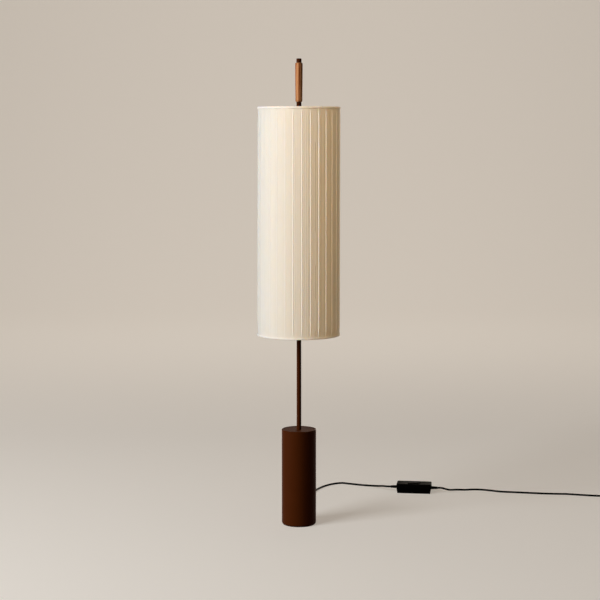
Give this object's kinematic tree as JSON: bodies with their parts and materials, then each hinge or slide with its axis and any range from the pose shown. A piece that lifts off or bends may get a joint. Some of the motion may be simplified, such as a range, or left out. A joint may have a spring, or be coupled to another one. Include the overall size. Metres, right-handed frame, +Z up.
{
  "type": "floor lamp",
  "caption": "Floor lamp with a tall pleated drum shade on a slim stem, a weighted cylindrical base, a wooden grip on top and a foot switch in its cord.",
  "frame": {"origin": "centre of the base's underside, on the floor", "axes": "+Z up along the stem; -Y towards the front, as the picture shows it; the cord leaves the base towards +Y"},
  "size_m": [1.2379, 0.6684, 1.4035],
  "materials": {
    "bronze_paint": "satin",
    "cast_weight": "rough",
    "plain_steel": "satin",
    "brass": "satin",
    "felt": "matte",
    "black_cord": "satin",
    "core_sheath": "satin",
    "black_plastic": "satin",
    "white_plastic": "gloss",
    "bulb_cap": "satin",
    "bulb_glass": "frosted",
    "cloth": "matte",
    "liner": "matte",
    "white_wire": "satin",
    "oak": "satin",
    "pin_metal": "polished"
  },
  "bodies": {
    "stand": {"foot_pad": "felt", "bottom_plate": "bronze_paint", "bottom_plate_screws": "plain_steel", "base_weight": "cast_weight", "base_drum": "bronze_paint", "tie_rod": "plain_steel", "rod_nut": "plain_steel", "rod_washer": "plain_steel", "spacer_tube": "plain_steel", "cord_gland": "black_plastic", "gland_nut": "black_plastic", "inner_lead": "black_cord", "stem_tube": "bronze_paint", "stem_foot_bush": "brass", "stem_top_bush": "brass", "handle_stud": "plain_steel", "seat_washer": "plain_steel", "handle_ferrule": "bronze_paint", "lower_arm": "bronze_paint", "upper_arm": "bronze_paint", "arm_grub_screws": "plain_steel", "arm_leads": "core_sheath", "lower_lampholder": "white_plastic", "upper_lampholder": "white_plastic", "cord_run": "black_cord", "switch_lower_case": "black_plastic", "switch_upper_case": "black_plastic", "switch_block": "white_plastic", "switch_leads": "core_sheath", "switch_screws": "plain_steel", "switch_inlet_relief": "black_cord", "switch_outlet_relief": "black_cord", "cord_tail": "black_cord", "cord_coil": "black_cord", "coil_tie": "black_plastic", "plug_lead": "black_cord", "plug_body": "black_plastic", "plug_pins": "pin_metal"},
    "shade": {"shade_cover": "cloth", "shade_liner": "liner", "shade_top_ring": "white_wire", "shade_bottom_ring": "white_wire", "shade_struts": "white_wire", "shade_spider": "white_wire", "shade_top_hem": "cloth", "shade_bottom_hem": "cloth"},
    "grip": {"handle_grip": "oak"},
    "cap": {"handle_cap": "bronze_paint"},
    "lower_bulb": {"lower_bulb_cap": "bulb_cap", "lower_bulb_glass": "bulb_glass"},
    "upper_bulb": {"upper_bulb_cap": "bulb_cap", "upper_bulb_glass": "bulb_glass"},
    "button": {"foot_button": "black_plastic", "button_plunger": "plain_steel"}
  },
  "joints": [
    {"name": "shade_turn", "type": "hinge", "parent": "stand", "child": "shade", "pos_m": [0, 0, 1.226], "axis": [0, 0, 1], "continuous": true},
    {"name": "grip_turn", "type": "hinge", "parent": "stand", "child": "grip", "pos_m": [0, 0, 1.33], "axis": [0, 0, 1], "continuous": true},
    {"name": "cap_turn", "type": "hinge", "parent": "stand", "child": "cap", "pos_m": [0, 0, 1.395], "axis": [0, 0, 1], "continuous": true},
    {"name": "lower_bulb_turn", "type": "hinge", "parent": "stand", "child": "lower_bulb", "pos_m": [0.046, 0, 0.75], "axis": [0, 0, 1], "continuous": true},
    {"name": "upper_bulb_turn", "type": "hinge", "parent": "stand", "child": "upper_bulb", "pos_m": [-0.046, 0, 1.015], "axis": [0, 0, 1], "continuous": true},
    {"name": "button_press", "type": "slide", "parent": "stand", "child": "button", "axis": [0, 0, -1], "range_m": [0, 0.0025], "stiffness_N_per_m": 1500, "springref_m": -0.001}
  ]
}
